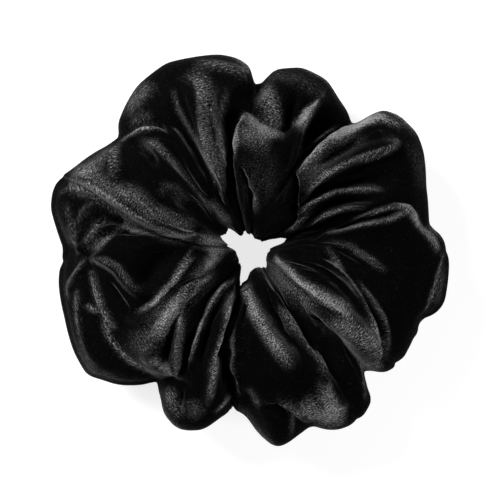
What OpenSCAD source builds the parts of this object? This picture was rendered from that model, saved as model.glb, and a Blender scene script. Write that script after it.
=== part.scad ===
// Velvet scrunchie: a tube of velvet gathered into ten soft puffs on a loop of
// knitted elastic. It lies flat on its underside. Z is up, and the origin is the
// centre of the ring on the surface that it lies on. Angles run anticlockwise
// from +X.

/* [Ring] */
// Overall diameter across the fullest puffs
ring_d = 110; // [100:1:120]
// Height of the fullest puff as it lies
puff_h = 31; // [27:1:35]
// Height of the cover where it is gathered
gather_h = 18; // [17:1:21]
// Height of the middle of a gather above the table
gather_z = 15; // [13.5:0.5:16]
// Radius of the hair opening at the middle of a puff
hole_r = 8; // [7.5:0.5:9]

/* [Velvet cover] */
// Thickness of the velvet with its pile
cloth_t = 1.6; // [1.2:0.1:1.8]
// How deep the small pleats along a puff are
pleat_depth = 1.2; // [0:0.1:1.6]
// How far each end of the cloth is turned in at the closing seam
hem_l = 3.6; // [2:0.1:4]
// Thickness of the turned-in hem
hem_t = 0.8; // [0.6:0.1:1]

/* [Elastic] */
// Radius of the relaxed elastic loop
elastic_r = 16.5; // [16:0.1:18]
// Width of the elastic
elastic_w = 6; // [4:0.5:7]
// Thickness of the elastic
elastic_t = 1.2; // [0.8:0.1:1.4]
// Length over which the two ends of the elastic overlap
lap_l = 8; // [6:0.5:9]

/* [Thread] */
// Thickness of the thread that sews the cover
thread_d = 0.5; // [0.4:0.05:0.6]
// Thickness of the thread that sews the elastic's lap
lap_thread_d = 0.4; // [0.3:0.05:0.45]
// Number of stitches round the closing seam
closing_stitches = 24; // [12:2:32]

/* [Hidden] */
// One row a puff: the angle of its crest, how far out the crest reaches, the
// angle of the gather that ends it, and how far out that gather reaches. The
// reaches are for a ring 110 across.
PUFFS = [
    [279, 54.2, 290, 51],
    [300, 54.8, 313.5, 44],
    [327, 52, 338, 51],
    [352, 55.3, 368, 49.5],
    [395, 55.4, 411.5, 44],
    [433, 51.6, 448.5, 45],
    [475, 57.5, 500, 46.5],
    [522, 56.5, 544, 51],
    [572, 56.4, 594.5, 43.5],
    [608, 53, 624.5, 42.7],
];
seam_angle = 264.5;
seam_reach = 42.7;
table_ring_d = 110;
reach_scale = ring_d / table_ring_d;

steps = 12;       // lengths of cloth along one puff
sides = 28;       // points round the tube
pleats = 2;       // small pleats along one puff
squareness = 2.4; // 2 is an ellipse, more is boxier
fullness = 0.75;  // under 1 fills a puff out close to its gathers
foot = 1;         // how far a crest would sink below the table if it weren't flat
gather_set_back = 1.5; // how much farther out a gather starts than a crest

cut_gap = 0.3;    // between two neighbouring lengths of the cover or elastic
end_t = 1.35;     // the closed end of the cloth, along the tube
seam_clear = cut_gap / 2 + end_t + cut_gap; // from the seam plane to the first puff
hem_gap = 1;      // between the turned-in hem and the puff round it
lap_off = elastic_t / 2 + cut_gap / 2; // each lapped end's distance off the loop
thread_gap = 0.35; // between a thread and the cloth that it lies along
seam_side = 250;  // where the long side seam runs, as an angle round the tube
stitch_pitch = 6; // degrees of the ring for each stitch of the side seam
stitch_margin = 0.17; // share of a puff without stitches at each of its ends
stitch_share = 0.7;   // share of the pitch that one stitch covers
arc_fn = 96;
thread_fn = 16;

velvet_colour = [0.06, 0.06, 0.07];
hem_colour = [0.1, 0.1, 0.11];
elastic_colour = [0.16, 0.16, 0.17];
thread_colour = [0.22, 0.22, 0.24];

puff_count = len(PUFFS);

function numbered(name, k) = str(name, k < 10 ? "_0" : "_", k);
function lerp(a, b, t) = a + (b - a) * t;
function radial(angle) = [cos(angle), sin(angle), 0];
function tangent(angle) = [-sin(angle), cos(angle), 0];
function arc_angle(length) = length / elastic_r * 180 / PI;

// The gather before and after a puff, each as [angle, reach]
function gather_before(k) =
    k == 1 ? [seam_angle, seam_reach] : [PUFFS[k - 2][2], PUFFS[k - 2][3]];
function gather_after(k) = [PUFFS[k - 1][2], PUFFS[k - 1][3]];
// How far a puff stays from the middle of a gather: more at the closing seam
function clear_before(k) = k == 1 ? seam_clear : cut_gap / 2;
function clear_after(k) = k == puff_count ? seam_clear : cut_gap / 2;

function squared(v) = sign(v) * pow(abs(v), 2 / squareness);

// One section of the tube as [distance from the ring's centre, height]: the
// point at angle a of an outline that lies inset inside the cloth's outer face
function outline(r_in, r_out, z_low, z_high, inset, a) = [
    (r_in + r_out) / 2 + ((r_out - r_in) / 2 - inset) * squared(cos(a)),
    max(inset, (z_low + z_high) / 2 + ((z_high - z_low) / 2 - inset) * squared(sin(a)))
];

function gather_point(reach, inset, a) = outline(
    hole_r + gather_set_back, reach * reach_scale,
    gather_z - gather_h / 2, gather_z + gather_h / 2, inset, a);

// A point of puff k: u runs from 0 to 1 along it, and a is the angle round the tube
function puff_point(k, u, inset, a) =
    let (
        first = u <= 0.5,
        gather = first ? gather_before(k) : gather_after(k),
        t = first ? 2 * u : 2 - 2 * u,
        swell = pow(sin(90 * t), fullness),
        pleat = pleat_depth * (1 - cos(360 * pleats * u)) / 2,
        angle = lerp(gather[0], PUFFS[k - 1][0], t),
        reach = lerp(gather[1], PUFFS[k - 1][1], swell) * reach_scale,
        low = lerp(gather_z - gather_h / 2, -foot, swell),
        high = lerp(gather_z + gather_h / 2, puff_h, swell),
        r_in = hole_r + gather_set_back * (1 - swell),
        p = outline(r_in + pleat / 2, reach - pleat, low + pleat, high - pleat, inset, a),
        clear = (first ? clear_before(k) : -clear_after(k)) * (1 - t)
    )
    p[0] * radial(angle) + clear * tangent(gather[0]) + [0, 0, p[1]];

// A hollow length of tube, whose outer and inner faces are rows of points
function shell_points(k) = [
    for (inset = [0, cloth_t], i = [0:steps], j = [0:sides - 1])
        puff_point(k, i / steps, inset, 360 * j / sides)
];

function corner(layer, i, j) = (layer * (steps + 1) + i) * sides + j % sides;

function quad(a, b, c, d) = [[a, b, c], [a, c, d]];

function shell_faces() = [
    for (i = [0:steps - 1], j = [0:sides - 1], f = concat(
        quad(corner(0, i, j), corner(0, i, j + 1), corner(0, i + 1, j + 1), corner(0, i + 1, j)),
        quad(corner(1, i, j), corner(1, i + 1, j), corner(1, i + 1, j + 1), corner(1, i, j + 1))
    )) f,
    for (j = [0:sides - 1], f = concat(
        quad(corner(0, 0, j), corner(1, 0, j), corner(1, 0, j + 1), corner(0, 0, j + 1)),
        quad(corner(0, steps, j), corner(0, steps, j + 1),
            corner(1, steps, j + 1), corner(1, steps, j))
    )) f
];

// One puff of the velvet tube, open at both ends where the cloth runs on
module cover_puff(k) {
    color(velvet_colour)
        polyhedron(points = shell_points(k), faces = shell_faces(), convexity = 6);
}

module gather_ring(outer_inset, inner_inset) {
    difference() {
        polygon([for (j = [0:sides - 1]) gather_point(seam_reach, outer_inset, 360 * j / sides)]);
        polygon([for (j = [0:sides - 1]) gather_point(seam_reach, inner_inset, 360 * j / sides)]);
    }
}

// A drawing of the tube's section, raised along the ring from one distance past
// the seam plane to another
module along_tube(from, to) {
    rotate([0, 0, seam_angle])
        translate([0, to, 0])
            rotate([90, 0, 0])
                linear_extrude(height = to - from) children();
}

// One sewn end of the tube: a narrow band of cloth with its hem turned in
module cover_end() {
    hem_inset = cloth_t + hem_gap;
    color(hem_colour) {
        along_tube(cut_gap / 2, cut_gap / 2 + end_t) gather_ring(0, hem_inset + hem_t);
        along_tube(cut_gap / 2 + end_t / 2, cut_gap / 2 + end_t + hem_l)
            gather_ring(hem_inset, hem_inset + hem_t);
    }
}

module cover_end_a() {
    cover_end();
}

module cover_end_b() {
    across_seam() cover_end();
}

module across_seam() {
    rotate([0, 0, seam_angle]) mirror([0, 1, 0]) rotate([0, 0, -seam_angle]) children();
}

module elastic_arc(radius, from, to) {
    rotate([0, 0, from])
        rotate_extrude(angle = to - from, $fn = arc_fn)
            translate([radius - elastic_t / 2, gather_z - elastic_w / 2])
                square([elastic_t, elastic_w]);
}

// The length of elastic inside puff k
module elastic(k) {
    lap_clear = lap_l / 2 + cut_gap;
    before = k == 1 ? lap_clear : cut_gap / 2;
    after = k == puff_count ? lap_clear : cut_gap / 2;
    color(elastic_colour)
        elastic_arc(elastic_r, gather_before(k)[0] + arc_angle(before),
            gather_after(k)[0] - arc_angle(after));
}

// The holes of the lap's stitches: two rows of three
module lap_stitches(d, from_r, to_r) {
    for (along = [-1, 0, 1], up = [-1, 1])
        rotate([0, 0, seam_angle + arc_angle(along * lap_l / 3.5)])
            translate([from_r, 0, gather_z + up * elastic_w / 4])
                rotate([0, 90, 0]) cylinder(h = to_r - from_r, d = d, $fn = thread_fn);
}

module elastic_end(radius) {
    hole_d = lap_thread_d + 0.2;
    half = arc_angle(lap_l / 2);
    color(elastic_colour)
        difference() {
            elastic_arc(radius, seam_angle - half, seam_angle + half);
            lap_stitches(hole_d, elastic_r - 2 * elastic_t, elastic_r + 2 * elastic_t);
        }
}

module elastic_end_a() {
    elastic_end(elastic_r + lap_off);
}

module elastic_end_b() {
    elastic_end(elastic_r - lap_off);
}

module elastic_lap_stitching() {
    proud = lap_off + elastic_t / 2 + 0.15;
    color(thread_colour) lap_stitches(lap_thread_d, elastic_r - proud, elastic_r + proud);
}

// A straight stitch from p to q
module stitch(p, q) {
    run = q - p;
    translate(p)
        rotate([0, acos(run[2] / norm(run)), atan2(run[1], run[0])])
            cylinder(h = norm(run), d = thread_d, $fn = thread_fn);
}

// The long side seam's stitches inside puff k, low down on the cloth's inner face
module side_seam_thread(k) {
    span = gather_after(k)[0] - gather_before(k)[0];
    count = round(span / stitch_pitch);
    inset = cloth_t + thread_gap + thread_d / 2;
    share = (1 - 2 * stitch_margin) / count;
    color(thread_colour)
        for (s = [0:count - 1])
            let (u = stitch_margin + s * share)
                stitch(puff_point(k, u, inset, seam_side),
                    puff_point(k, u + stitch_share * share, inset, seam_side));
}

// The slip stitches that close the cover, lying across the seam outside the cloth
module closing_seam_stitching() {
    reach_over = seam_clear - 2 * cut_gap;
    inset = -thread_gap - thread_d / 2;
    color(thread_colour)
        for (s = [0:closing_stitches - 1])
            let (p = gather_point(seam_reach, inset, 360 * (s + 0.5) / closing_stitches),
                at = p[0] * radial(seam_angle) + [0, 0, p[1]])
                stitch(at - reach_over * tangent(seam_angle), at + reach_over * tangent(seam_angle));
}

for (k = [1:puff_count]) {
    cover_puff(k);
    elastic(k);
    side_seam_thread(k);
}
cover_end_a();
cover_end_b();
elastic_end_a();
elastic_end_b();
elastic_lap_stitching();
closing_seam_stitching();
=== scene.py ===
"""A black velvet scrunchie: a tube of stretch velvet gathered on a loop of elastic.

The cover is one tube bent into a ring. PUFFS lists its folds: each is a rounded
lobe that runs from the hair opening, over the top, round the rim and back
underneath, and the cover is the outer surface of all of them together. RIDGES adds
the smaller ridges and creases, and the strokes are painted highlights: lighter
colour along the folds where light catches the pile.
The cover is cut at the crests into lengths.
"""
import math

import bpy
import numpy as np
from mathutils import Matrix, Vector


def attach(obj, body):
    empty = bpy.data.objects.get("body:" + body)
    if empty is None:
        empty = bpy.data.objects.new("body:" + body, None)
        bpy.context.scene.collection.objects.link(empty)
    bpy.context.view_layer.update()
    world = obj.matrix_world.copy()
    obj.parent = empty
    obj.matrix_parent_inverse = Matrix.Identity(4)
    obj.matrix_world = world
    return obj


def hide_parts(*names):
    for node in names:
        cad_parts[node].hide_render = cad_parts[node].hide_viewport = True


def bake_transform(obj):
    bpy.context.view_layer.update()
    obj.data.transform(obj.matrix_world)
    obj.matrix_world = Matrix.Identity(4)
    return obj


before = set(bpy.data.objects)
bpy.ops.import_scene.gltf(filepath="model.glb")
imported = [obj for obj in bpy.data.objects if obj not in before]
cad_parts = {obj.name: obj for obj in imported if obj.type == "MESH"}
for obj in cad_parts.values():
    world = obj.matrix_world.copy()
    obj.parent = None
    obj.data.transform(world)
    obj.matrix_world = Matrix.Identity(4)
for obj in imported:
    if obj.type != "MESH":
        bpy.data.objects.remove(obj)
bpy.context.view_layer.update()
MM = 0.001              # the shape is worked out in millimetres

# ---------------------------------------------------------------- the ring's frame
# The angle of each body's own crest, anticlockwise from +X, from the closing seam
# round to the closing seam again
SEAM_ANGLE = 264.5
CRESTS = (SEAM_ANGLE, 279, 300, 327, 352, 395, 433, 475, 522, 572, 608, SEAM_ANGLE + 360)
COLUMNS_A_DEGREE = 2    # the mesh's columns go round the ring, its rows round the tube
ROWS = 180

# ---------------------------------------------------------------- the folds
# Angles are degrees anticlockwise from +X, distances are millimetres from the ring's
# centre. The rim and the opening as outlines: angle, distance.
RIM = (
    (0, 54.3), (5, 52.5), (8, 50), (13, 50.5), (20, 51.5), (30, 54.5), (35, 55.4), (42, 54.5),
    (47, 52), (50.5, 43.8), (55, 46.2), (60, 48), (66, 51), (74, 51.8), (82, 50), (85, 47.5),
    (87.5, 45.5), (90, 49.5), (95, 52.5), (100, 54), (108, 55), (115, 56), (125, 54.5), (132, 52),
    (137, 50), (139.5, 47.5), (144, 48.5), (150, 51), (155, 53), (160, 56), (163, 56.5),
    (168, 56), (172, 54.5), (180, 51.8), (185, 53), (190, 53.8), (200, 54.5), (210, 56),
    (217, 56.4), (220, 54.5), (225, 52), (230, 48.5), (234.5, 45), (239, 48), (242, 51),
    (247, 53), (250, 52.8), (255, 51), (260, 46.5), (264.5, 44), (269, 45.5), (273, 50),
    (278, 54.2), (281, 54), (285, 52.5), (290, 51), (293, 53), (297, 54.5), (301, 54.8),
    (305, 54.5), (310, 52), (314.5, 45), (318, 49), (321, 50.3), (327, 51.2), (334, 53.2),
    (338, 51.5), (341, 54), (345, 55.5), (350, 55.3), (357, 55),
)
OPENING = (
    (3, 5.5), (9, 6.8), (14.5, 11.2), (19, 11), (25, 7.8), (33, 4.6), (45, 3.4), (70, 3.8),
    (78, 4.6), (86, 5.2), (95, 4.6), (112, 4.4), (127, 4.8), (134, 9.4), (141, 8.6),
    (150, 8.8), (155, 10), (161, 8.2), (167, 6.4), (180, 4.7), (190, 4.4), (218, 4),
    (235, 4.4), (246, 6), (252, 9.4), (258, 9.8), (265, 9.2), (272, 6.4), (285, 5.4),
    (300, 5), (315, 6.4), (330, 5.4), (345, 5.4),
)
# Each puff: the angles of its clockwise and anticlockwise edges at the four distances of
# EDGES_AT, how wide its shoulder is at each edge, how high it stands, and its own reach
# where that is not the rim.
EDGES_AT = (12.0, 24.0, 36.0, 48.0)
REACH_B2 = ((60, 52), (65, 50), (67, 43), (69, 36), (71.5, 31.5), (78.5, 31.2), (86, 32.5),
            (90.5, 35.8), (93.5, 37.6), (96, 36.5), (99, 33), (102, 29))
REACH_D = ((314, 51), (339, 51), (347, 50.4), (353, 51.5), (359, 54), (372, 52))
REACH_H = ((165, 33), (169, 35), (175, 38.5), (181, 43.5), (186, 43.2), (190, 42.2),
           (197, 42.2), (204, 43), (213, 44.6), (221, 45.2), (229, 44.8), (236, 43.5),
           (246, 43))
PUFFS = (
    # F, below the opening, and its fold beside E
    ((254, 257, 263.5, 264.5), (303, 302, 305, 304), 1.6, 4.0, 28.0, None),
    ((300, 303, 304, 302), (316, 314, 315, 311), 4.0, 2.0, 26.5, None),
    # E
    ((306, 315, 315, 314), (366, 349, 333, 322.5), 4.0, 1.2, 30.0, None),
    # D, and the lobe behind its edge
    ((352, 345, 332, 322), (372, 373, 377, 369), 4.0, 1.0, 29.0, REACH_D),
    ((346, 342, 338, 336), (364, 363, 362, 362), 5.0, 5.0, 20.0, None),
    # C
    ((368, 371, 375, 367), (391, 421, 417, 411), 2.0, 1.2, 29.0, None),
    # B and the fold in front of it
    ((405, 416, 413, 407), (432, 431, 433, 440), 3.0, 1.6, 24.0, None),
    ((428, 430, 430, 427), (462, 458, 453, 448.5), 1.6, 3.0, 24.5, None),
    ((392, 420, 425, 424), (463, 462, 457, 455), 3.0, 1.4, 29.0, REACH_B2),
    # A
    ((474, 465, 464, 450), (500, 493, 493, 502), 2.0, 3.0, 28.5, None),
    # J
    ((488, 487, 486, 499.5), (534, 526, 521, 519), 1.2, 1.2, 30.0, None),
    # I
    ((534, 522, 517, 517), (548, 550, 548, 544), 3.0, 3.0, 22.0, None),
    # H, and the dark lobe beneath its outer edge
    ((532, 528, 532, 542), (590, 597, 600, 602), 1.2, 4.0, 29.0, REACH_H),
    ((540, 542, 544, 543), (588, 590, 594, 595), 4.0, 4.0, 20.0, None),
    # G
    ((586, 592, 598, 594), (616, 613, 618, 624), 3.0, 2.0, 27.0, None),
)
# Each ridge: height, half-width clockwise, half-width anticlockwise, and its line from
# the inside outwards as (angle, distance). A negative height is a crease.
RIDGES = (
    # D
    (2.6, 7.0, 0.6, (12, 20), (14, 27), (16.5, 34), (16.5, 39), (15.5, 43), (11, 47)),
    (1.6, 2.0, 0.8, (10, 15), (11, 21), (11.5, 28), (11, 35), (11.5, 40), (14, 43)),
    (-2.2, 0.9, 0.9, (12.5, 24), (13, 29), (14, 35), (14, 40)),
    (2.0, 0.8, 4.5, (8, 19), (3, 26), (356, 31), (352, 35), (348, 37.5)),
    (-2.2, 5.0, 0.8, (1, 21), (354, 27), (350, 32)),
    (1.6, 0.8, 2.0, (339, 51), (343, 50), (347, 50), (353, 51), (359, 53.5)),
    # C: each fold's clockwise side drops into the dark
    (3.2, 0.8, 6.5, (43, 17), (44, 25), (41, 32), (38, 38), (36.5, 41), (34.5, 46),
     (35.5, 50)),
    (-2.0, 7.0, 0.8, (37, 27), (34, 33), (31, 39), (28, 45)),
    (2.2, 0.8, 3.5, (36, 15), (36, 22), (32, 27), (28.5, 31.5), (23, 39)),
    (2.0, 1.0, 2.0, (22, 17), (23, 25), (21, 30), (18, 35)),
    (-2.0, 1.2, 1.2, (29, 16), (29, 24), (25, 30), (20.5, 37)),
    (-2.4, 2.4, 2.4, (51, 27), (47, 34), (44, 41), (42, 46)),
    (1.2, 2.0, 1.0, (45, 40), (43, 45), (41.5, 48)),
    (1.6, 6.0, 0.7, (50, 14), (59, 20), (60, 26), (57, 32.5), (53, 40), (50.5, 46)),
    # B
    (2.2, 1.4, 1.2, (61, 29), (59, 34), (55.5, 41), (54, 43)),
    (2.4, 3.0, 1.0, (64, 22), (66, 29), (67.5, 35), (67, 40.5), (65.5, 45), (65, 48)),
    (-3.0, 1.0, 3.0, (70.5, 34), (71.5, 38), (72.5, 43), (73, 47)),
    (1.6, 5.0, 4.0, (82, 36), (84, 44), (82, 49)),
    # the fold in front of B
    (2.0, 6.0, 3.5, (86, 10), (90, 17), (93, 26), (95, 35)),
    (1.2, 4.0, 4.0, (66, 14), (72, 22), (77, 29)),
    (-2.6, 0.8, 1.6, (87, 9), (89, 15.5), (94, 20), (97, 24)),
    # A
    (2.6, 0.8, 2.2, (105, 20), (106, 24), (107, 29), (105, 36), (103, 41), (100, 44)),
    (-2.0, 2.2, 2.2, (110, 19), (110.5, 26), (108.5, 34), (107, 42)),
    (2.6, 3.6, 1.0, (115, 11), (114, 17), (115.5, 24), (115, 31.5), (113.5, 38), (113, 45),
     (115, 52)),
    (-2.4, 1.0, 3.0, (121, 19), (119, 26), (118, 31), (118, 39), (118, 47)),
    (2.4, 1.6, 2.6, (126, 18), (123.5, 24), (122.5, 30), (123, 36), (126, 41)),
    (1.8, 6.0, 5.0, (130, 41), (129, 47), (127, 53)),
    (1.4, 1.4, 2.0, (130, 44.5), (134, 46.5), (137, 49)),
    (1.6, 2.0, 3.0, (91, 47), (97, 50), (102, 52), (110, 55)),
    # J
    (1.6, 0.7, 3.0, (127, 17), (127, 24), (125.5, 30), (126, 36), (127.5, 40.5),
     (134, 44), (139, 47)),
    (2.4, 1.6, 2.0, (137, 16), (136, 20), (135, 25), (134.5, 30), (133.5, 35)),
    (-2.4, 1.4, 1.4, (131, 18), (130.5, 25), (130, 33)),
    (-3.0, 2.5, 2.0, (139, 33), (137, 38), (137, 43)),
    (-3.0, 1.6, 0.8, (124, 36), (127, 41.5), (132, 44.5), (137, 47.5), (139.5, 50)),
    (3.0, 2.2, 9.0, (163, 14), (161, 21), (157.5, 27), (153.5, 33), (152.5, 38.5),
     (147.5, 42), (143, 45.5), (141, 48)),
    (-3.2, 2.0, 1.4, (150, 10), (148, 17), (145.5, 24), (145, 29)),
    (1.8, 8.0, 0.7, (172, 14), (167.5, 22), (165, 27), (162.5, 32), (160.5, 37),
     (159, 43), (158.5, 47), (161.5, 53)),
    # I
    (2.6, 1.4, 1.4, (160, 42), (165, 44), (171, 46), (174, 50)),
    (2.2, 1.4, 1.4, (168, 37), (173, 40), (179, 44), (181, 48)),
    (-3.0, 2.0, 2.0, (163, 34), (166, 38), (169, 41)),
    (-2.0, 1.2, 1.2, (167, 45), (172, 49)),
    # H: the bowl's near edge, and the wave of cloth that ends in the outer edge
    (2.6, 0.8, 4.0, (178, 12), (190, 17.5), (199, 21), (207, 26), (210, 30.5), (210, 34),
     (207, 37)),
    (-4.0, 6.0, 5.0, (178, 20), (186, 24), (194, 27), (200, 30)),
    (2.6, 0.7, 2.6, (206, 29), (201, 30.6), (195, 32.4), (188, 34.3), (184, 37), (182, 40),
     (183, 43)),
    (2.4, 1.6, 0.7, (211, 40), (204, 41), (197, 41.2), (190.5, 41.4), (186.5, 43)),
    (-1.8, 1.2, 1.2, (208, 35.5), (200, 36.5), (192, 38)),
    (2.2, 3.6, 3.0, (190, 10), (197, 14), (209, 19.5), (216, 24.5), (221, 30),
     (225.5, 37), (227, 42)),
    (-1.6, 1.6, 1.4, (216, 19), (223, 26), (229, 33), (233, 39)),
    (2.6, 3.0, 0.9, (211, 14), (218.5, 22), (224, 25.5), (232, 31), (237, 36), (240.5, 41)),
    (1.8, 1.0, 3.0, (183, 43.5), (187, 47), (190, 51), (194, 53)),
    (1.6, 1.0, 1.6, (196, 45.5), (193, 47.5), (195, 49), (203, 51), (213, 52.5),
     (220, 51)),
    # G
    (2.0, 1.2, 1.0, (236, 10), (233, 13), (232.5, 18), (234.5, 22.5), (238, 27),
     (240, 32), (243, 36.5)),
    (-1.8, 0.9, 2.0, (241, 13), (240, 20), (243, 28), (246, 34)),
    (-2.0, 0.8, 0.8, (243.5, 43), (246.5, 51)),
    (3.0, 3.6, 0.8, (246, 10), (250, 16.5), (249.5, 22), (251, 28), (253, 33),
     (254, 39.5), (254.5, 45)),
    (-2.4, 0.8, 2.5, (252, 18), (255, 26), (257, 34), (259, 42)),
    # F
    (2.0, 0.7, 5.0, (246, 12), (254.5, 20), (259.5, 28), (263.5, 36), (265, 41)),
    (2.6, 5.0, 3.0, (259, 9), (273, 15), (281, 22), (286, 28), (290, 32.5), (293, 38)),
    (-4.0, 2.6, 2.6, (287, 15), (291, 22), (295, 29), (298, 35)),
    (3.0, 2.6, 1.0, (296, 8), (298.5, 13), (299.5, 19.5), (301, 25), (304, 30),
     (304, 36), (300.5, 38.5), (299, 42), (301.5, 46), (303.5, 50)),
    (-4.0, 0.9, 4.0, (305, 31), (306, 36), (304, 40), (305, 45), (306, 50)),
    (1.6, 6.0, 3.0, (293, 40), (295, 45), (298, 52)),
    (2.8, 0.7, 4.0, (276, 41.5), (277, 41), (281, 40.2), (285, 42.6), (287.3, 46),
     (290, 51)),
    (-2.6, 4.0, 0.8, (275, 43), (280, 42.5), (283, 45), (285, 49)),
    (1.4, 1.0, 1.4, (285.5, 45), (284, 50), (283, 53)),
    (2.4, 2.2, 0.9, (315, 22), (315, 28), (315.5, 33), (315, 38), (313, 43.5), (311, 48.5)),
    # E
    (-3.0, 0.7, 0.7, (317, 25), (317.5, 31)),
    (1.8, 1.0, 2.6, (318, 26), (319, 31), (318, 38)),
    (4.6, 6.5, 1.6, (356, 7), (348, 10.5), (336, 15), (330, 20.5), (328, 26), (327.5, 31),
     (325, 38), (320, 46)),
    (-3.0, 1.0, 5.0, (344, 14), (338, 20), (334, 27), (331, 33)),
    (2.2, 2.6, 0.6, (364, 19), (354, 21), (347, 25), (341, 29.5), (336, 33.5),
     (330.5, 37), (326, 41), (325, 44)),
    (1.8, 0.8, 0.6, (342, 30.5), (337.5, 36), (334, 40), (330.5, 43), (326, 46),
     (322, 49)),
    (-2.4, 0.7, 0.7, (340, 32), (335.5, 36), (331, 40), (327.5, 43)),
)
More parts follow.
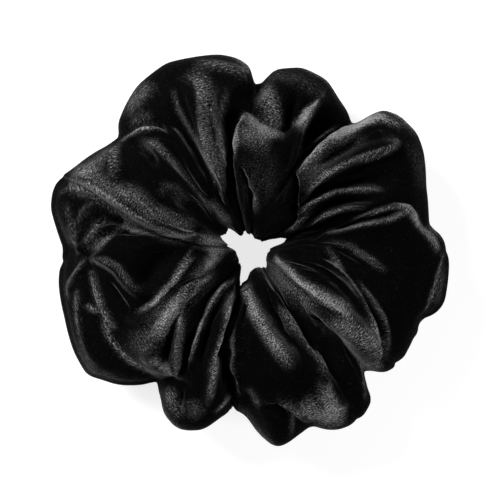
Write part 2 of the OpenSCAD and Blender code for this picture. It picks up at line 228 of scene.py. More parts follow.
# Painted highlights: lighter colour painted along the folds where light catches the
# pile, standing in for its sheen: how much, half-width clockwise, half-width
# anticlockwise, and the line, as for the ridges.
HIGHLIGHT_STROKES = (
    # A
    (0.30, 4.5, 4, (121, 55.5), (127.5, 52), (133.5, 49.5)),
    (0.36, 0.8, 4.5, (112, 52.5), (109.5, 47), (110.5, 40), (113.5, 33.5), (116, 25), (118, 18)),
    (0.20, 1.2, 0.7, (116, 49.5), (117.5, 43), (116.5, 32.5), (117.5, 22.5)),
    (0.28, 0.6, 1.4, (100, 43.5), (103, 39), (106, 33), (107.5, 27), (108.5, 21)),
    (0.30, 2, 1.6, (108.5, 54), (101.5, 51.5), (96, 49), (90.5, 47)),
    (0.18, 2, 2, (135.5, 48), (130.5, 45), (125.5, 43.5)),
    # J
    (0.60, 0.8, 1.2, (141, 47.5), (137.5, 46), (132.5, 43), (127.5, 40.5), (125.5, 37.5)),
    (0.27, 4.5, 4, (158.5, 54), (154, 49.5), (149, 46.5), (142.5, 46)),
    (0.30, 1.5, 0.8, (140, 46.5), (142.5, 45), (147, 41.5), (152.5, 38.5)),
    (0.38, 3.5, 0.6, (159.5, 53.5), (157.5, 44), (159, 35), (162.5, 27), (165.5, 20.5),
     (164.5, 15)),
    (0.22, 2.6, 2.6, (156, 54), (154.5, 47), (155, 40), (156.5, 31)),
    (0.34, 1.4, 1.4, (137.5, 42.5), (132, 37.5), (131.5, 30), (132.5, 23.5), (135, 16.5),
     (135, 13)),
    (0.18, 1.6, 1.8, (150, 27.5), (144, 28), (141.5, 25.5), (147.5, 19.5)),
    (0.30, 2.5, 2, (151.5, 37), (156.5, 27.5), (155.5, 20.5), (155, 15)),
    (0.36, 1.5, 2, (129, 17.5), (130.5, 12), (128.5, 8)),
    # I
    (0.20, 1.5, 1.5, (164.5, 52), (169.5, 49.5), (175, 48), (181, 49.5)),
    (0.24, 1, 1, (160, 42), (168.5, 45.5), (175.5, 47), (181, 48)),
    (0.26, 2, 2, (164.5, 38.5), (173, 40.5), (180.5, 42.5)),
    (0.26, 0.8, 0.8, (164, 55.5), (161.5, 53), (159.5, 49)),
    # H
    (0.34, 0.9, 1.4, (182.5, 41.5), (175.5, 37.5), (167, 33.5), (168.5, 29), (168.5, 21.5),
     (162.5, 14.5)),
    (0.54, 3, 3, (165.5, 15), (171, 10.5), (194.5, 6.5)),
    (0.48, 0.5, 0.7, (170.5, 14.5), (189.5, 18), (201.5, 22.5), (208.5, 28.5), (208, 34.5)),
    (0.28, 0.7, 0.9, (182.5, 42), (183.5, 37.5), (187, 34), (196.5, 32), (201.5, 30)),
    (0.60, 1.4, 1.4, (186.5, 42), (195.5, 41.5), (203.5, 41.5), (211, 41)),
    (0.36, 3, 4.5, (190.5, 12), (211.5, 18.5), (215.5, 23.5), (219, 29), (223, 33.5)),
    (0.24, 5, 5, (210, 23), (217, 29), (221, 36), (219, 43)),
    (0.36, 0.8, 1.2, (220, 24.5), (227.5, 27), (232, 31), (237.5, 37), (240.5, 40.5)),
    (0.60, 2.2, 2.2, (225.5, 39), (234, 39.5), (240, 40.5)),
    (0.58, 1.2, 1, (204, 43), (211.5, 44), (222, 44.5), (229, 44.5), (235, 43)),
    (0.41, 0.9, 0.9, (182, 43), (187.5, 48), (191.5, 52), (196.5, 53)),
    (0.48, 1.4, 1.4, (192.5, 47), (196, 49.5), (199.5, 51), (204.5, 52)),
    (0.43, 1.2, 1.2, (198, 47), (202, 43)),
    (0.24, 1.6, 1.6, (200, 51), (210, 54), (217.5, 54.5), (224.5, 51.5)),
    (0.54, 2.5, 1.6, (190.5, 8.5), (198, 11.5), (199.5, 14.5)),
    # G
    (0.54, 0.9, 0.9, (248.5, 8), (233, 13), (233.5, 18.5), (236, 24.5), (239.5, 30),
     (241.5, 34.5)),
    (0.31, 0.8, 1, (211, 12), (217, 18), (222, 22.5)),
    (0.50, 1.4, 1, (245, 13), (248.5, 18.5), (251, 26), (252, 34), (254, 42)),
    (0.41, 2.4, 2.4, (238, 44.5), (242.5, 48.5), (248, 51)),
    (0.26, 3, 3, (247, 44), (250.5, 47.5), (253.5, 49)),
    (0.43, 0.8, 0.8, (256.5, 47), (261.5, 42.5), (265, 40.5)),
    # F
    (0.26, 0.6, 1, (250.5, 16), (259, 25), (263, 32.5), (264.5, 39.5)),
    (0.48, 2, 2.6, (253.5, 8.5), (265, 12.5), (275, 18.5), (283, 25), (289.5, 33)),
    (0.46, 2.5, 0.8, (295, 18), (301.5, 26), (303.5, 31), (304.5, 35), (301, 38)),
    (0.60, 2.5, 2, (301, 38), (298.5, 43), (299.5, 48), (302, 51)),
    (0.55, 4, 4, (289, 41.5), (293, 47), (296.5, 51.5), (301.5, 53.5)),
    (0.36, 0.7, 2.5, (279, 40.5), (284, 42.5), (287, 46.5)),
    (0.31, 0.7, 0.7, (285.5, 45), (284.5, 49), (283, 52.5)),
    (0.26, 1.6, 1.6, (269.5, 37), (272, 40.5), (274.5, 43.5)),
    (0.31, 0.8, 1.2, (317, 29), (316.5, 33.5), (315.5, 39), (314, 44), (310.5, 49.5), (307, 53)),
    # E
    (0.75, 1.6, 1.4, (346, 6.5), (339.5, 10.5), (331, 15.5), (328.5, 22.5), (328.5, 28.5),
     (328, 32)),
    (0.42, 4.5, 3.5, (318, 26.5), (322.5, 32.5), (323.5, 38.5), (323, 44), (321.5, 47.5)),
    (0.30, 3, 3, (324, 6), (317, 13), (317.5, 20.5), (319, 27)),
    (0.40, 0.8, 1, (5, 20), (351, 23.5), (341.5, 28.5), (336.5, 32.5), (330, 36.5), (325.5, 41),
     (324.5, 44)),
    (0.34, 0.7, 0.8, (344.5, 29), (338, 35), (333.5, 40), (328.5, 44.5), (324, 47), (321, 48.5)),
    (0.40, 2, 2, (315, 42), (317, 45.5), (320, 48.5)),
    # D
    (0.34, 0.9, 1.4, (5, 21), (1, 26.5), (354.5, 31.5), (350, 36.5)),
    (0.60, 0.8, 0.9, (360, 54.5), (351.5, 52), (344.5, 51), (339.5, 51)),
    (0.24, 2.5, 2.5, (356, 54), (350, 54), (343.5, 53)),
    (0.34, 1, 0.8, (11, 21.5), (12, 27.5), (11.5, 36), (13.5, 41), (15, 43)),
    (0.30, 0.8, 0.8, (15.5, 27.5), (16, 34.5), (16, 40.5), (15.5, 43.5)),
    (0.85, 2.4, 1.2, (17, 39), (14.5, 43), (10, 47), (4, 50.5), (359, 53)),
    # C
    (0.62, 2, 1, (60, 24), (58.5, 28.5), (56, 34), (52.5, 39.5), (50, 44.5), (47.5, 49.5),
     (45.5, 54.5)),
    (0.66, 2, 1.4, (54, 36), (51, 42), (48.5, 47), (45, 51.5), (38, 54)),
    (0.18, 3.5, 3.5, (53, 21.5), (50.5, 31), (47.5, 38), (44.5, 44.5)),
    (0.40, 1, 0.9, (45, 21.5), (45, 28), (41, 34), (36.5, 40.5), (35, 45.5), (35, 49.5)),
    (0.36, 0.9, 0.8, (35, 16), (37.5, 21.5), (33, 27.5), (27, 33.5), (23, 39.5)),
    (0.30, 0.9, 0.9, (22, 17), (24, 22.5), (22.5, 28), (18.5, 33)),
    (0.26, 1, 1, (24.5, 10.5), (31, 15), (31.5, 20)),
    (0.14, 4, 4, (34.5, 54), (27, 53), (18, 51)),
    # B and the fold in front of it
    (0.34, 3.6, 3.4, (86.5, 47), (85, 41.5), (81, 36.5), (73, 32.5)),
    (0.13, 3.5, 3.5, (90, 50), (80, 49), (71, 49), (62, 46)),
    (0.65, 1.3, 1.5, (65.5, 33.5), (67.5, 36.5), (67, 40.5), (65.5, 45)),
    (0.34, 0.6, 0.7, (67, 35.5), (63.5, 31), (59.5, 26)),
    (0.34, 0.8, 0.8, (62, 29.5), (60, 34), (56.5, 38), (53.5, 42.5)),
    (0.50, 1.6, 0.8, (94.5, 38), (92, 36), (86, 33), (80, 31.5), (72, 32)),
    (0.55, 2.4, 1.4, (92.5, 37.5), (96.5, 33.5), (98, 29), (101, 24.5)),
    (0.30, 4, 4, (94.5, 33.5), (88.5, 30.5), (77.5, 29)),
    (0.10, 6, 6, (89.5, 27), (83.5, 20), (67.5, 12.5)),
    (0.26, 0.8, 1.6, (91.5, 20), (86.5, 14.5), (80, 9)),
)

# ---------------------------------------------------------------- the cover's shape
TUBE_R = 29.0           # the middle of the tube
TUBE_Z = 15.0
LOW_Z = 0.6             # the height of the folds' undersides, near the surface they lie on
SQUARE = 2.3            # the tube's section: 2 is an ellipse, more is boxier
OUTLINE_SAMPLES = 7     # an outline is the mean of this many points round an angle,
RIM_SOFT = 1.5          # over this many degrees to each side for the rim
OPENING_SOFT = 3.0      # and the hair opening
RIM_SPARE = 1.9         # how far the softening and the simulation draw the rim in,
OPENING_SPARE = 0.6     # and open the hair opening
VALLEY_TOP = 13.0       # how far the valleys between puffs fall below them, on top,
VALLEY_RIM = 1.5        # at the rim
VALLEY_LOW = 5.0        # and underneath
RIDGE_END = 7.0         # the length over which a ridge fades out at each end, or this
RIDGE_END_SHARE = 0.4   # share of it where that is less
# How much of a thing there is at the tube's side, how much more on top, and its least
EDGES_SHOWN = (0.6, 1.2, 0)
RIDGES_SHOWN = (0.35, 0.9, 0.15)
# the painted highlights show more on top, where the light falls
HIGHLIGHTS_SHOWN = (0.7, 0.6, 0.15)
GATHER_SEED = 7
GATHER_COUNTS = (38, 53, 71, 97)    # the puckers round the opening, in four sizes
GATHER_WANDER = 0.8     # how far they wander, and over what distance
GATHER_WANDER_R = 7
GATHER_UNEVEN = 0.4     # how much they vary round the ring, and how often
GATHER_UNEVEN_TURNS = 5
GATHER_HEIGHT = 0.16    # their height, how far they run outwards from GATHER_R,
GATHER_FADE = 13.0
GATHER_R = 8.0
GATHER_SHOWN = 0.35     # and how much of it there is on top and more underneath
GATHER_DEEPER = 7.0
SOFTEN_SHAPE = 2        # rounds of smoothing for the shape, its tone with the painted highlights and its movement
SOFTEN_TONE_AND_HIGHLIGHT = 1
SOFTEN_MOVE = 4
NAP_PLAIN = 0.025       # the pile's own tone where no painted highlight crosses it
HIGHLIGHT_WIDTH = 1.35     # how much wider the painted highlight strokes are than listed
CLOTH_ROUND = 0.127     # the cut piece's width in metres, which goes round the tube,
CLOTH_RING_R = 0.0525   # and the radius of a ring as long as it


def column_angles():
    """Angles of the mesh's columns. Every crest and the seam has a column of its own."""
    angles = []
    for low, high in zip(CRESTS, CRESTS[1:]):
        count = round((high - low) * COLUMNS_A_DEGREE)
        angles += [low + (high - low) * i / count for i in range(count)]
    return np.array(angles)


def outline_at(outline, theta, soft=RIM_SOFT):
    """Distance of an outline of (angle, distance) points at theta, its corners rounded."""
    angles, distances = np.array(outline).T
    total = 0
    for step in np.linspace(-soft, soft, OUTLINE_SAMPLES):
        total = total + np.interp(theta + step, angles, distances, period=360)
    return total / OUTLINE_SAMPLES


def wrapped(angle):
    """An angle brought between -180 and 180 degrees."""
    return (angle + 180) % 360 - 180


def section_radius(alpha, inner, outer, top):
    """Distance from the tube's middle to a section's outline in the direction alpha."""
    c, s = np.cos(alpha), np.sin(alpha)
    wide = np.where(c >= 0, outer - TUBE_R, TUBE_R - inner)
    tall = np.where(s >= 0, top - TUBE_Z, TUBE_Z - LOW_Z)
    return (np.abs(c / wide) ** SQUARE + np.abs(s / tall) ** SQUARE) ** (-1 / SQUARE)


def share_at(alpha, share):
    """How much of a thing shows in the direction alpha, as listed in the share."""
    side, on_top, least = share
    return np.clip(side + on_top * np.sin(alpha), least, 1)


def edge_angle(angles, r, alpha):
    """A puff's edge at distance r: as listed on top, straighter underneath."""
    listed = np.interp(r, EDGES_AT, angles)
    outwards = np.clip((r - EDGES_AT[0]) / (EDGES_AT[-1] - EDGES_AT[0]), 0, 1)
    straight = angles[1] + (angles[3] - angles[1]) * outwards
    return straight + (listed - straight) * share_at(alpha, EDGES_SHOWN)


def shoulder(distance, width):
    """Height, 0 to 1, of a rounded shoulder at a distance in from a puff's edge."""
    t = np.clip(distance / width, 0, 1)
    return np.sqrt(1 - (1 - t) ** 2)


def valley_depth(alpha):
    """How far the valleys fall below the puffs in the direction alpha."""
    s = np.sin(alpha)
    return VALLEY_RIM + np.where(s > 0, VALLEY_TOP - VALLEY_RIM, VALLEY_LOW - VALLEY_RIM) * s ** 2


def puff_radius(theta, alpha):
    """Distance from the tube's middle to the outermost puff."""
    rho = np.full(theta.shape, 0.0)
    inner = outline_at(OPENING, theta, OPENING_SOFT) - OPENING_SPARE
    rim = outline_at(RIM, theta) + RIM_SPARE
    for low, high, w_low, w_high, top, reach in PUFFS:
        outer = rim if reach is None else np.minimum(rim, outline_at(reach, theta) + RIM_SPARE)
        whole = section_radius(alpha, inner, outer, top)
        r = TUBE_R + whole * np.cos(alpha)
        d_low = np.radians(wrapped(theta - edge_angle(low, r, alpha))) * r
        d_high = np.radians(wrapped(edge_angle(high, r, alpha) - theta)) * r
        inside = shoulder(d_low, w_low) * shoulder(d_high, w_high)
        inside = np.where((d_low > 0) & (d_high > 0), inside, 0)
        rho = np.maximum(rho, whole - valley_depth(alpha) * (1 - inside))
    return rho


def ridge_height(x, y, height, w_right, w_left, line):
    """A ridge's height at points in plan: a rounded bump across its line, fading at its ends."""
    angles, distances = np.array(line).T
    px = distances * np.cos(np.radians(angles))
    py = distances * np.sin(np.radians(angles))
    steps = np.hypot(np.diff(px), np.diff(py))
    travelled = np.concatenate([[0], np.cumsum(steps)])
    nearest = np.full(x.shape, 1e9)
    side = np.zeros(x.shape)
    along = np.zeros(x.shape)
    for i, step in enumerate(steps):
        dx, dy = (px[i + 1] - px[i]) / step, (py[i + 1] - py[i]) / step
        t = np.clip((x - px[i]) * dx + (y - py[i]) * dy, 0, step)
        ox, oy = x - px[i] - t * dx, y - py[i] - t * dy
        d = np.hypot(ox, oy)
        closer = d < nearest
        nearest = np.where(closer, d, nearest)
        side = np.where(closer, dx * oy - dy * ox, side)
        along = np.where(closer, travelled[i] + t, along)
    bump = np.clip(1 - nearest / np.where(side > 0, w_left, w_right), 0, 1)
    bump = bump * bump * (3 - 2 * bump)
    taper = np.minimum(RIDGE_END, travelled[-1] * RIDGE_END_SHARE)
    ends = np.clip(along / taper, 0, 1) * np.clip((travelled[-1] - along) / taper, 0, 1)
    return height * bump * ends * (2 - ends)


def gathers(theta, r, alpha):
    """Small puckers where the cloth is drawn up round the opening, deepest out of sight."""
    rng = np.random.default_rng(GATHER_SEED)
    turn = np.radians(theta)
    height = np.zeros(theta.shape)
    for count in GATHER_COUNTS:
        phase = rng.uniform(0, 2 * math.pi)
        wander = rng.uniform(0, 2 * math.pi)
        bend = GATHER_WANDER * np.sin(r / GATHER_WANDER_R + wander)
        vary = GATHER_UNEVEN * np.sin(turn * GATHER_UNEVEN_TURNS + wander)
        height += np.sin(turn * count + phase + bend) * (1 - GATHER_UNEVEN + vary)
    beneath = np.clip(-np.sin(alpha), 0, 1)
    deeper = GATHER_SHOWN + GATHER_DEEPER * beneath
    fade = np.exp(-((r - GATHER_R) / (GATHER_FADE * (1 + beneath))) ** 2)
    return GATHER_HEIGHT * deeper * height * fade


def cover_points():
    """The cover: its points in millimetres as [column, row, xyz], and their tone with painted
    highlights.
    """
    alpha = np.linspace(0, 2 * math.pi, ROWS, endpoint=False)
    theta, alpha = np.meshgrid(column_angles(), alpha, indexing="ij")
    rho = puff_radius(theta, alpha)
    turn = np.radians(theta)
    r = TUBE_R + rho * np.cos(alpha)
    x, y = r * np.cos(turn), r * np.sin(turn)
    shown = share_at(alpha, RIDGES_SHOWN)
    for height, w_right, w_left, *line in RIDGES:
        rho = rho + shown * ridge_height(x, y, height, w_right, w_left, line)
    rho = rho + gathers(theta, r, alpha)
    # the pile's own tone, and highlights painted lighter along the strokes, more on top
    tone_and_highlight = np.full(theta.shape, NAP_PLAIN)
    highlight_share = share_at(alpha, HIGHLIGHTS_SHOWN)
    for amount, w_right, w_left, *line in HIGHLIGHT_STROKES:
        w_right, w_left = HIGHLIGHT_WIDTH * w_right, HIGHLIGHT_WIDTH * w_left
        tone_and_highlight = tone_and_highlight + highlight_share * ridge_height(x, y, amount, w_right, w_left, line)
    r = TUBE_R + rho * np.cos(alpha)
    z = np.maximum(TUBE_Z + rho * np.sin(alpha), 0)
    return np.stack([r * np.cos(turn), r * np.sin(turn), z], axis=-1), tone_and_highlight


def smoothed(grid, times):
    """Soften creases: each point moves half-way to the mean of its neighbours."""
    for _ in range(times):
        mean = (
            np.roll(grid, 1, 0) + np.roll(grid, -1, 0)
            + np.roll(grid, 1, 1) + np.roll(grid, -1, 1)
        ) / 4
        grid = grid + 0.5 * (mean - grid)
    return grid


def grid_normals(grid):
    """A unit normal at every point of the cover, facing outwards."""
    along = np.roll(grid, -1, 0) - np.roll(grid, 1, 0)
    around = np.roll(grid, -1, 1) - np.roll(grid, 1, 1)
    normal = np.cross(along, around)
    return normal / np.linalg.norm(normal, axis=-1, keepdims=True)


def strip_faces(columns, rows):
    """Quads of a length of tube, closed round its section, facing outwards."""
    faces = []
    for i in range(columns - 1):
        for j in range(rows):
            j1 = (j + 1) % rows
            faces.append((i * rows + j, (i + 1) * rows + j, (i + 1) * rows + j1, i * rows + j1))
    return faces


def make_mesh(name, points, faces):
    """A new mesh object in the scene."""
    mesh = bpy.data.meshes.new(name)
    mesh.from_pydata([tuple(p) for p in points], [], faces)
    mesh.update()
    obj = bpy.data.objects.new(name, mesh)
    bpy.context.scene.collection.objects.link(obj)
    return obj


def add_cloth_map(mesh, theta, rows):
    """A UV map in metres of cloth: u along the tube, v round its section."""
    uv = mesh.uv_layers.new(name="cloth")
    corner = np.empty(len(mesh.loops), int)
    mesh.loops.foreach_get("vertex_index", corner)
    column, row = corner // rows, corner % rows
    face_row = np.repeat(np.arange(len(mesh.polygons)) % rows, 4)
    row = np.where((row == 0) & (face_row == rows - 1), rows, row)
    u = np.radians(theta[column]) * CLOTH_RING_R
    v = row / rows * CLOTH_ROUND
    uv.data.foreach_set("uv", np.stack([u, v], axis=-1).ravel())


def add_piece(k, grid, normals, tone_and_highlight, theta, material):
    """The length of cover between two crests."""
    columns, rows = grid.shape[:2]
    name = f"velvet_cover_{k + 1:02d}"
    obj = make_mesh(name, grid.reshape(-1, 3) * MM, strip_faces(columns, rows))
    mesh = obj.data
    mesh.polygons.foreach_set("use_smooth", [True] * len(mesh.polygons))
    mesh.normals_split_custom_set_from_vertices([tuple(n) for n in normals.reshape(-1, 3)])
    # the pile's tone with its painted highlights, for the velvet's colour
    tone = mesh.attributes.new("tone_and_highlight", "FLOAT", "POINT")
    tone.data.foreach_set("value", tone_and_highlight.ravel().astype(np.float32))
    add_cloth_map(mesh, theta, rows)
    mesh.materials.append(material)
    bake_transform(obj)
    return obj


# ---------------------------------------------------------------- cloth simulation
SIM_SCALE = 10.0        # the solver is steadier on a bigger cloth
SIM_FRAMES = 12
SIM_STEP = (4, 3)       # it works on every fourth column and third row
SIM_MOVE = 2.0          # how far a point may move, in millimetres
SIM_HELD_R = 13.0       # the cloth is held nearer the ring's centre than this
SIM_THICKNESS = 0.0006
SIM_CLOTH = {
    "quality": 5,
    "mass": 0.12,
    "air_damping": 4.0,
    "tension_stiffness": 15,
    "compression_stiffness": 15,
    "shear_stiffness": 4,
    "bending_stiffness": 12,
    "pin_stiffness": 1.0,
    "use_pressure": True,
    "uniform_pressure_force": 8,
    "shrink_min": -0.02,
}
SIM_GRAVITY = 0.3


def simulate(obj, held):
    """Let the air in the puffs round them with cloth simulation; return the points."""
    group = obj.vertex_groups.new(name="held")
    group.add(held, 1.0, "REPLACE")
    cloth = obj.modifiers.new("cloth", "CLOTH")
    cloth.settings.vertex_group_mass = "held"
    for key, value in SIM_CLOTH.items():
        setattr(cloth.settings, key, value)
    cloth.settings.effector_weights.gravity = SIM_GRAVITY
    cloth.collision_settings.use_self_collision = True
    cloth.collision_settings.self_distance_min = SIM_THICKNESS * SIM_SCALE
    cloth.collision_settings.use_collision = False
    cloth.point_cache.frame_end = SIM_FRAMES
    scene = bpy.context.scene
    scene.frame_start = 1
    scene.frame_end = SIM_FRAMES
    for f in range(1, SIM_FRAMES + 1):
        scene.frame_set(f)
    done = obj.evaluated_get(bpy.context.evaluated_depsgraph_get())
    out = np.empty(len(done.data.vertices) * 3)
    done.data.vertices.foreach_get("co", out)
    obj.modifiers.remove(cloth)
    return out.reshape(-1, 3)


def spread(coarse, at, size, axis):
    """Values on every few points of a closed grid axis, filled in between."""
    index = np.arange(size)
    low = np.searchsorted(at, index, side="right") - 1
    high = (low + 1) % len(at)
    gap = np.append(np.diff(at), size - at[-1])[low]
    t = (index - at[low]) / gap
    t = (t * t * (3 - 2 * t)).reshape([-1 if a == axis else 1 for a in range(coarse.ndim)])
    return np.take(coarse, low, axis) * (1 - t) + np.take(coarse, high, axis) * t


def relaxed(grid):
    """The cover after a short cloth simulation of a coarser copy of it, above the floor."""
    columns, rows = grid.shape[:2]
    at = [np.arange(0, size, step) for size, step in zip(grid.shape, SIM_STEP)]
    coarse = grid[np.ix_(at[0], at[1])]
    ring = np.concatenate([coarse, coarse[:1]])
    faces = np.array(strip_faces(len(ring), len(at[1]))) % (len(at[0]) * len(at[1]))
    obj = make_mesh("cover_sim", coarse.reshape(-1, 3) * MM * SIM_SCALE, faces.tolist())
    r = np.hypot(coarse[..., 0], coarse[..., 1]).ravel()
    held = np.nonzero(r < SIM_HELD_R)[0].tolist()
    out = simulate(obj, held).reshape(coarse.shape) / MM / SIM_SCALE
    bpy.data.objects.remove(obj)
    moved = out - coarse
    length = np.linalg.norm(moved, axis=-1, keepdims=True)
    moved *= np.minimum(1, SIM_MOVE / np.maximum(length, 1e-9))
    moved = spread(spread(moved, at[0], columns, 0), at[1], rows, 1)
    grid = grid + smoothed(moved, SOFTEN_MOVE)
    grid[..., 2] = np.maximum(grid[..., 2], 0)
    return grid


def build_cover(material, thread):
    """The cover in its eleven lengths, and the stitches that close it."""
    points, tone_and_highlight = cover_points()
    grid = smoothed(points, SOFTEN_SHAPE)
    grid = relaxed(grid)
    tone_and_highlight = smoothed(tone_and_highlight, SOFTEN_TONE_AND_HIGHLIGHT)
    normals = grid_normals(grid)
    theta = column_angles()
    stitches = seam_stitches(grid, normals, thread)
    grid = np.concatenate([grid, grid[:1]])
    tone_and_highlight = np.concatenate([tone_and_highlight, tone_and_highlight[:1]])
    normals = np.concatenate([normals, normals[:1]])
    theta = np.append(theta, CRESTS[-1])
    cuts = [int(np.argmin(np.abs(theta - crest))) for crest in CRESTS]
    pieces = []
    for k, (i, j) in enumerate(zip(cuts, cuts[1:])):
        part = slice(i, j + 1)
        pieces.append(
            add_piece(k, grid[part], normals[part], tone_and_highlight[part], theta[part], material)
        )
    return pieces, stitches


# ---------------------------------------------------------------- the closing seam
STITCHES = 24
STITCH_REACH = 1.1      # how far a stitch reaches each side of the seam, in millimetres
STITCH_R = 0.14         # the thread's radius, and how far its middle is off the cloth
STITCH_LIFT = 0.08
STITCH_SIDES = 6


def thread_tube(path, radius, sides):
    """Points and faces of a thread along a path, closed to a point at each end."""
    ahead = np.gradient(path, axis=0)
    ahead /= np.linalg.norm(ahead, axis=1, keepdims=True)
    side = np.cross(ahead, [0.0, 0.0, 1.0])
    side /= np.maximum(np.linalg.norm(side, axis=1, keepdims=True), 1e-6)
    up = np.cross(side, ahead)
    turn = np.linspace(0, 2 * math.pi, sides, endpoint=False)
    rings = [
        p + radius * (np.outer(np.cos(turn), s) + np.outer(np.sin(turn), u))
        for p, s, u in zip(path, side, up)
    ]
    tips = [path[:1] - radius * ahead[:1], path[-1:] + radius * ahead[-1:]]
    points = np.concatenate(rings + tips)
    first, last = len(points) - 2, len(points) - 1
    faces = []
    for i in range(len(path) - 1):
        for j in range(sides):
            k = (j + 1) % sides
            faces.append((i * sides + j, i * sides + k, (i + 1) * sides + k, (i + 1) * sides + j))
    base = (len(path) - 1) * sides
    for j in range(sides):
        k = (j + 1) % sides
        faces.append((k, j, first))
        faces.append((base + j, base + k, last))
    return points, faces


def seam_stitches(grid, normals, material):
    """The slip stitches that close the cover, lying on the cloth across the seam."""
    points, faces = [], []
    for row in range(0, ROWS, ROWS // STITCHES):
        r = math.hypot(*grid[0, row, :2])
        half = max(2, round(STITCH_REACH * COLUMNS_A_DEGREE / math.radians(r)))
        columns = np.arange(-half, half + 1)
        path = grid[columns, row] + STITCH_LIFT * normals[columns, row]
        path[:, 2] = np.maximum(path[:, 2], STITCH_R)
        new, shape = thread_tube(path, STITCH_R, STITCH_SIDES)
        faces += [tuple(i + len(points) for i in face) for face in shape]
        points += [tuple(p) for p in new * MM]
    obj = make_mesh("closing_seam_thread", points, faces)
    obj.data.polygons.foreach_set("use_smooth", [True] * len(faces))
    obj.data.materials.append(material)
    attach(obj, "closing_seam_a")
    return obj


# ---------------------------------------------------------------- materials
SHEEN = 0.22
SHEEN_ROUGHNESS = 0.26
SHEEN_TINT = (0.96, 0.97, 1.0, 1)
PILE_DARK = (0.0006, 0.0006, 0.0007, 1)     # the pile's own near-black, and the painted highlight colour
PILE_HIGHLIGHT = (0.275, 0.275, 0.28, 1)
RIBS_AT = (900, 3000, 1)    # the ribs' noise, finer round the tube than along it,
RIB = 0.9                   # and its weight in the grain
GRAIN = 2.0                 # what the ribs' and the pile's weights add up to
PILE_SCALE = 2900.0
GRAIN_POWER = 3.9           # how sharply the grain breaks up the light pile
KNIT_ROWS = 430.0           # rows of knitting, and how much they show
KNIT_DEPTH = 0.09
PATCH_SCALE = 150.0         # uneven patches in the light pile
PATCHES = 1.5
SPECKS_ABOVE = 1.28         # grain above this catches the light even in the dark pile
SPECKS = 0.6
TONE_LEAST = 0.01
TONE_AND_HIGHLIGHT_POWER = 1.7             # how much darker the pile's mid tones and the painted highlights' soft edges are
VELVET_BUMP = 0.0003        # the grain's height, in metres
THREAD = ((0.002, 0.002, 0.0022), 0.0003, 0.00005)  # colour, the bands' pitch and depth
ELASTIC_BAND = ((0.02, 0.02, 0.021), 0.0008, 0.0002)
YARN_DARK = 0.4             # a yarn's colour runs between these shares of its own
YARN_LIGHT = 1.6
MATT = 0.9


def add_node(mat, kind, inputs=None, **settings):
    """A shader node with its settings, and its inputs set or linked by name."""
    node = mat.node_tree.nodes.new(kind)
    for key, value in settings.items():
        setattr(node, key, value)
    for key, value in (inputs or {}).items():
        if isinstance(value, bpy.types.NodeSocket):
            mat.node_tree.links.new(value, node.inputs[key])
        else:
            node.inputs[key].default_value = value
    return node


def math_node(mat, operation, a, b=0.0):
    """The result of a calculation with two values or sockets."""
    return add_node(mat, "ShaderNodeMath", {0: a, 1: b}, operation=operation).outputs[0]


def velvet_grain(mat, cloth, place):
    """Ribs, pile and rows of knitting together, about 1."""
    ribs = add_node(mat, "ShaderNodeMapping", {"Vector": cloth, "Scale": RIBS_AT})
    rib = add_node(mat, "ShaderNodeTexNoise",
                   {"Vector": ribs.outputs[0], "Scale": 1.0, "Detail": 2.0},
                   noise_dimensions="2D")
    pile = add_node(mat, "ShaderNodeTexNoise",
                    {"Vector": place, "Scale": PILE_SCALE, "Detail": 2.0})
    rows = add_node(mat, "ShaderNodeTexWave",
                    {"Vector": cloth, "Scale": KNIT_ROWS, "Distortion": 1.2, "Detail Scale": 1.5},
                    bands_direction="Y")
    grain = math_node(mat, "ADD", math_node(mat, "MULTIPLY", rib.outputs["Fac"], RIB),
                      math_node(mat, "MULTIPLY", pile.outputs["Fac"], GRAIN - RIB))
    row = math_node(mat, "SUBTRACT", rows.outputs["Fac"], 0.5)
    return math_node(mat, "ADD", grain, math_node(mat, "MULTIPLY", row, KNIT_DEPTH))


def velvet_tone(mat, grain, place):
    """How light the pile is, 0 to 1: its tone with the painted highlights, broken up by the grain
    and in patches.
    """
    tone_and_highlight = add_node(mat, "ShaderNodeAttribute", attribute_name="tone_and_highlight").outputs["Fac"]
    patches = add_node(mat, "ShaderNodeTexNoise",
                       {"Vector": place, "Scale": PATCH_SCALE, "Detail": 3.0})
    uneven = math_node(mat, "SUBTRACT", patches.outputs["Fac"], 0.5)
    mottle = math_node(mat, "ADD", math_node(mat, "POWER", grain, GRAIN_POWER),
                       math_node(mat, "MULTIPLY", uneven, PATCHES))
    tone = math_node(mat, "MULTIPLY", tone_and_highlight, mottle)
    specks = math_node(mat, "SUBTRACT", grain, SPECKS_ABOVE)
    specks = math_node(mat, "MULTIPLY", specks, SPECKS)
    tone = math_node(mat, "ADD", tone, math_node(mat, "MAXIMUM", specks, 0.0))
    tone = math_node(mat, "MAXIMUM", tone, TONE_LEAST)
    return math_node(mat, "POWER", tone, TONE_AND_HIGHLIGHT_POWER)


def mix_colours(mat, factor, dark, light):
    """The colour between two others. A mix of colours has its own sockets, by number."""
    first, second, result = 6, 7, 2
    mix = add_node(mat, "ShaderNodeMix", {"Factor": factor}, data_type="RGBA")
    mix.inputs[first].default_value = dark
    mix.inputs[second].default_value = light
    return mix.outputs[result]


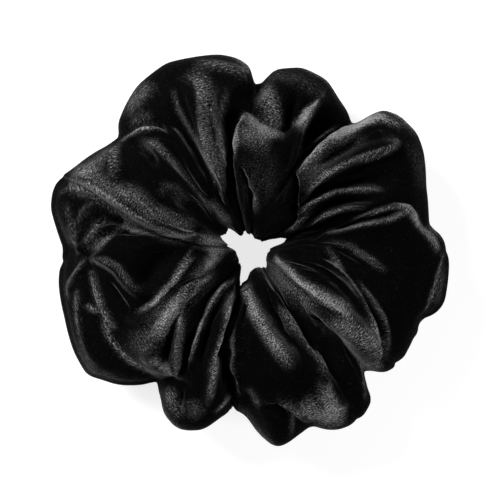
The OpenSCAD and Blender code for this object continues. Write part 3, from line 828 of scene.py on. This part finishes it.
def velvet():
    """Black knitted velvet: almost black, with highlights painted lighter along the folds."""
    mat = plain("velvet", PILE_DARK[:3], MATT)
    bsdf = mat.node_tree.nodes["Principled BSDF"]
    bsdf.inputs["Specular IOR Level"].default_value = 0.02
    bsdf.inputs["Sheen Weight"].default_value = SHEEN
    bsdf.inputs["Sheen Roughness"].default_value = SHEEN_ROUGHNESS
    bsdf.inputs["Sheen Tint"].default_value = SHEEN_TINT
    place = add_node(mat, "ShaderNodeTexCoord").outputs["Object"]
    cloth = add_node(mat, "ShaderNodeUVMap", uv_map="cloth").outputs["UV"]
    grain = velvet_grain(mat, cloth, place)
    # The colour runs from the pile's near-black to the painted highlight colour.
    colour = mix_colours(mat, velvet_tone(mat, grain, place), PILE_DARK, PILE_HIGHLIGHT)
    bump = add_node(mat, "ShaderNodeBump",
                    {"Height": grain, "Strength": 0.5, "Distance": VELVET_BUMP})
    mat.node_tree.links.new(colour, bsdf.inputs["Base Color"])
    mat.node_tree.links.new(bump.outputs["Normal"], bsdf.inputs["Normal"])
    return mat


def yarn(name, colour, pitch, depth):
    """Knitted elastic or twisted thread: fine bands across it at that pitch, unevenly dark."""
    mat = plain(name, colour, 0.75)
    bsdf = mat.node_tree.nodes["Principled BSDF"]
    bsdf.inputs["Specular IOR Level"].default_value = 0.1
    place = add_node(mat, "ShaderNodeTexCoord").outputs["Object"]
    bands = add_node(mat, "ShaderNodeTexWave",
                     {"Vector": place, "Scale": 0.3 / pitch, "Distortion": 1.5})
    fluff = add_node(mat, "ShaderNodeTexNoise", {"Vector": place, "Scale": 1.0 / pitch})
    shade = mix_colours(mat, fluff.outputs["Fac"], (*[YARN_DARK * c for c in colour], 1),
                        (*[YARN_LIGHT * c for c in colour], 1))
    bump = add_node(mat, "ShaderNodeBump",
                    {"Height": bands.outputs["Fac"], "Strength": 0.6, "Distance": depth})
    mat.node_tree.links.new(shade, bsdf.inputs["Base Color"])
    mat.node_tree.links.new(bump.outputs["Normal"], bsdf.inputs["Normal"])
    return mat


def plain(name, colour, roughness):
    """A material of one colour."""
    mat = bpy.data.materials.new(name)
    mat.use_nodes = True
    bsdf = mat.node_tree.nodes["Principled BSDF"]
    bsdf.inputs["Base Color"].default_value = (*colour, 1)
    bsdf.inputs["Roughness"].default_value = roughness
    return mat


# ---------------------------------------------------------------- stage
LAMPS = (               # each lamp's name, place in metres and power in watts
    ("key", (-0.45, 0.4, 0.4), 8.0),
    ("fill", (0.5, -0.3, 0.35), 3.0),
)
AIM = (0, 0, 0.015)     # the lamps point here
LAMP_SIZE = 0.35
LENS = 85
SENSOR = 36
VIEW_WIDTH = 0.1375     # how much of the floor's width the camera sees at CAMERA_OVER
CAMERA_OVER = 0.018
FLOOR_HALF = 3
FLOOR_COLOUR = (0.4, 0.4, 0.4)
FLOOR_GLOW = 0.8        # the floor and the surround are this much lighter in the picture
WORLD_GLOW = 0.8        # than in the light that they throw
WORLD_LIGHT = 0.05


def add_lamp(name, where, power):
    """A soft round lamp."""
    data = bpy.data.lights.new(name, "AREA")
    data.shape = "DISK"
    data.size = LAMP_SIZE
    data.energy = power
    lamp = bpy.data.objects.new(name, data)
    lamp.location = where
    aim = Vector(AIM) - Vector(where)
    lamp.rotation_euler = aim.to_track_quat("-Z", "Y").to_euler()
    bpy.context.scene.collection.objects.link(lamp)


def camera_glow(mat, glow, rest=0.0):
    """A strength that is higher for what the camera sees than for what lights the scene."""
    seen = add_node(mat, "ShaderNodeLightPath").outputs["Is Camera Ray"]
    return math_node(mat, "ADD", rest, math_node(mat, "MULTIPLY", seen, glow))


def build_floor():
    """White paper under the scrunchie."""
    far = FLOOR_HALF
    corners = [(-far, -far, 0), (far, -far, 0), (far, far, 0), (-far, far, 0)]
    floor = make_mesh("floor", corners, [(0, 1, 2, 3)])
    paper = plain("floor", FLOOR_COLOUR, MATT)
    bsdf = paper.node_tree.nodes["Principled BSDF"]
    bsdf.inputs["Emission Color"].default_value = (1, 1, 1, 1)
    paper.node_tree.links.new(camera_glow(paper, FLOOR_GLOW), bsdf.inputs["Emission Strength"])
    floor.data.materials.append(paper)


def build_world():
    """An even pale surround."""
    world = bpy.data.worlds.new("studio")
    world.use_nodes = True
    background = world.node_tree.nodes["Background"]
    background.inputs["Color"].default_value = (1, 1, 1, 1)
    glow = camera_glow(world, WORLD_GLOW, WORLD_LIGHT)
    world.node_tree.links.new(glow, background.inputs["Strength"])
    bpy.context.scene.world = world


def add_camera():
    """A camera looking straight down."""
    camera = bpy.data.cameras.new("camera")
    camera.lens = LENS
    camera.sensor_width = SENSOR
    obj = bpy.data.objects.new("camera", camera)
    obj.location = (0, 0, CAMERA_OVER + VIEW_WIDTH * LENS / SENSOR)
    bpy.context.scene.collection.objects.link(obj)
    bpy.context.scene.camera = obj
    bpy.context.scene.view_settings.view_transform = "Standard"


def dress_cad(nodes, elastic, thread):
    """Give every CAD node its procedural material: the elastic's arcs one, the rest thread."""
    for name, node in nodes.items():
        band = name.startswith("elastic") and "stitching" not in name
        for material_slot in node.material_slots:
            material_slot.material = elastic if band else thread


thread = yarn("thread", *THREAD)
dress_cad(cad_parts, yarn("elastic", *ELASTIC_BAND), thread)
cover, stitches = build_cover(velvet(), thread)
for k, piece in enumerate(cover[:10]):
    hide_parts(f"cover_puff_{k + 1:02d}")
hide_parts("cover_end_a")
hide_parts("cover_end_b")
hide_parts("closing_seam_stitching")
build_floor()
build_world()
for name, where, power in LAMPS:
    add_lamp(name, where, power)
add_camera()
